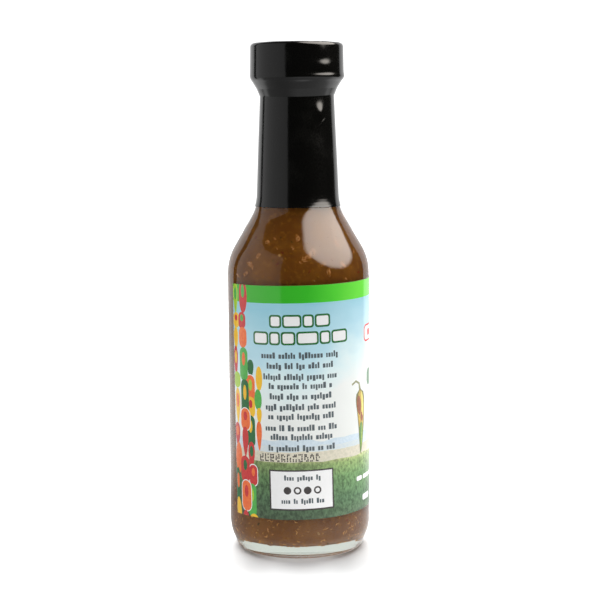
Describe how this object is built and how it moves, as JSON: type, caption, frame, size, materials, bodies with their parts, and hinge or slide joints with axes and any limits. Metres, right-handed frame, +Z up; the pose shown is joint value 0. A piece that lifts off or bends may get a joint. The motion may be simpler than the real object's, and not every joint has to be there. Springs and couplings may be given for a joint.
{
  "type": "hot sauce bottle",
  "caption": "Small round long-necked glass bottle filled with brown green-chilli hot sauce, with a wrap-round paper label and a screw cap sealed to the neck by a black shrink band.",
  "frame": {"origin": "centre of the bottle's foot, on the surface that it stands on", "axes": "+Z up along the bottle's axis; -Y towards the side with the text panel, so the label's open gap lies towards -X"},
  "size_m": [0.0472, 0.0472, 0.1655],
  "materials": {
    "clear_glass": "clear flint glass, faintly green at its thick foot",
    "brown_sauce": "thick brown sauce with pale seeds and flecks of red and green skin",
    "printed_label": "semi-gloss printed paper",
    "black_plastic": "satin black polypropylene",
    "black_film": "glossy black heat-shrunk film"
  },
  "bodies": {
    "root": {"glass_bottle": "clear_glass", "sauce": "brown_sauce", "label": "printed_label", "cap": "black_plastic", "shrink_band": "black_film"}
  },
  "joints": []
}
